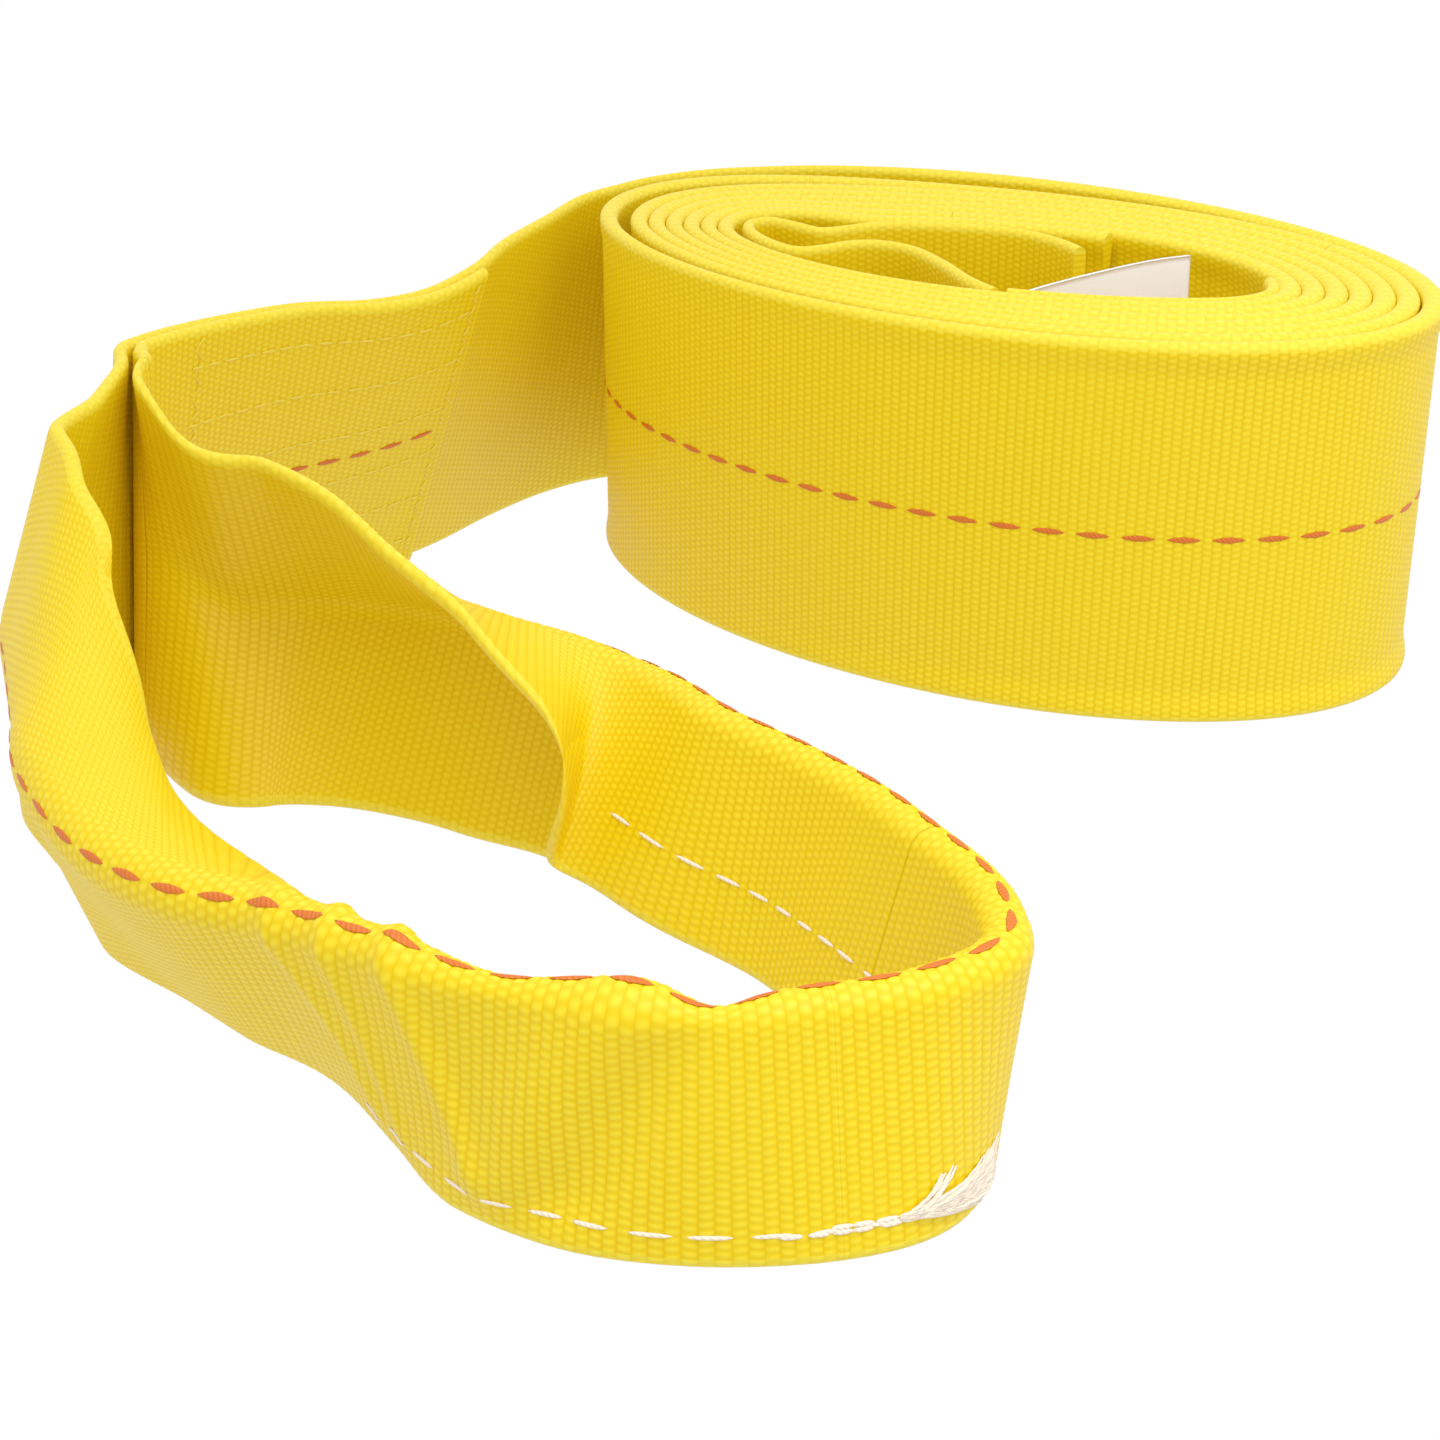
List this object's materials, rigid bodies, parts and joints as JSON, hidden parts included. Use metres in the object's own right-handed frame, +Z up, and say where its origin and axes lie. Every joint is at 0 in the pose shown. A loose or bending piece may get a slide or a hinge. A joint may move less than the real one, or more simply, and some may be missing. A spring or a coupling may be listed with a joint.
{
  "type": "web sling",
  "caption": "Flat webbing lifting sling rolled up on edge, with a sewn lap and a folded, loop-shaped eye at each end and a soft tag.",
  "frame": {"origin": "centre of the coil, on the floor the webbing stands on", "axes": "+Z up, along the coil's upright axis; -Y from the coil towards the outer eye; +X to the right when the outer eye is nearest"},
  "size_m": [0.2683, 0.3237, 0.077],
  "materials": {
    "webbing": "matte weave",
    "tracer": "matte",
    "lap_thread": "satin",
    "seam_thread": "satin",
    "tag": "satin"
  },
  "bodies": {
    "coil": {"coil_webbing": "webbing", "coil_tracer": "tracer", "inner_lap_webbing": "webbing", "inner_lap_stitching": "lap_thread", "inner_eye_outer_leg": "webbing", "inner_eye_inner_leg": "webbing", "inner_eye_bearing": "webbing", "inner_eye_fold_seam": "seam_thread"},
    "splice": {"lead_webbing": "webbing", "lap_webbing": "webbing", "lap_tracer": "tracer", "lap_stitching": "lap_thread"},
    "eye": {"near_leg_webbing": "webbing", "bearing_webbing": "webbing", "far_leg_webbing": "webbing", "eye_tracer": "tracer", "eye_fold_seam": "seam_thread", "fold_seam_backtack": "seam_thread"},
    "tag": {"identification_tag": "tag", "tag_stitching": "lap_thread"}
  },
  "joints": [
    {"name": "lead_swing", "type": "hinge", "parent": "coil", "child": "splice", "pos_m": [-0.0448, 0.0713, 0.038], "axis": [0, 0, 1], "range_deg": [-16, 8]},
    {"name": "eye_swing", "type": "hinge", "parent": "splice", "child": "eye", "pos_m": [-0.1685, -0.0711, 0.038], "axis": [0, 0, 1], "range_deg": [-12, 12]},
    {"name": "tag_swing", "type": "hinge", "parent": "coil", "child": "tag", "pos_m": [0.0004, -0.0326, 0.058], "axis": [0, 0, 1], "range_deg": [-16, 12]}
  ]
}
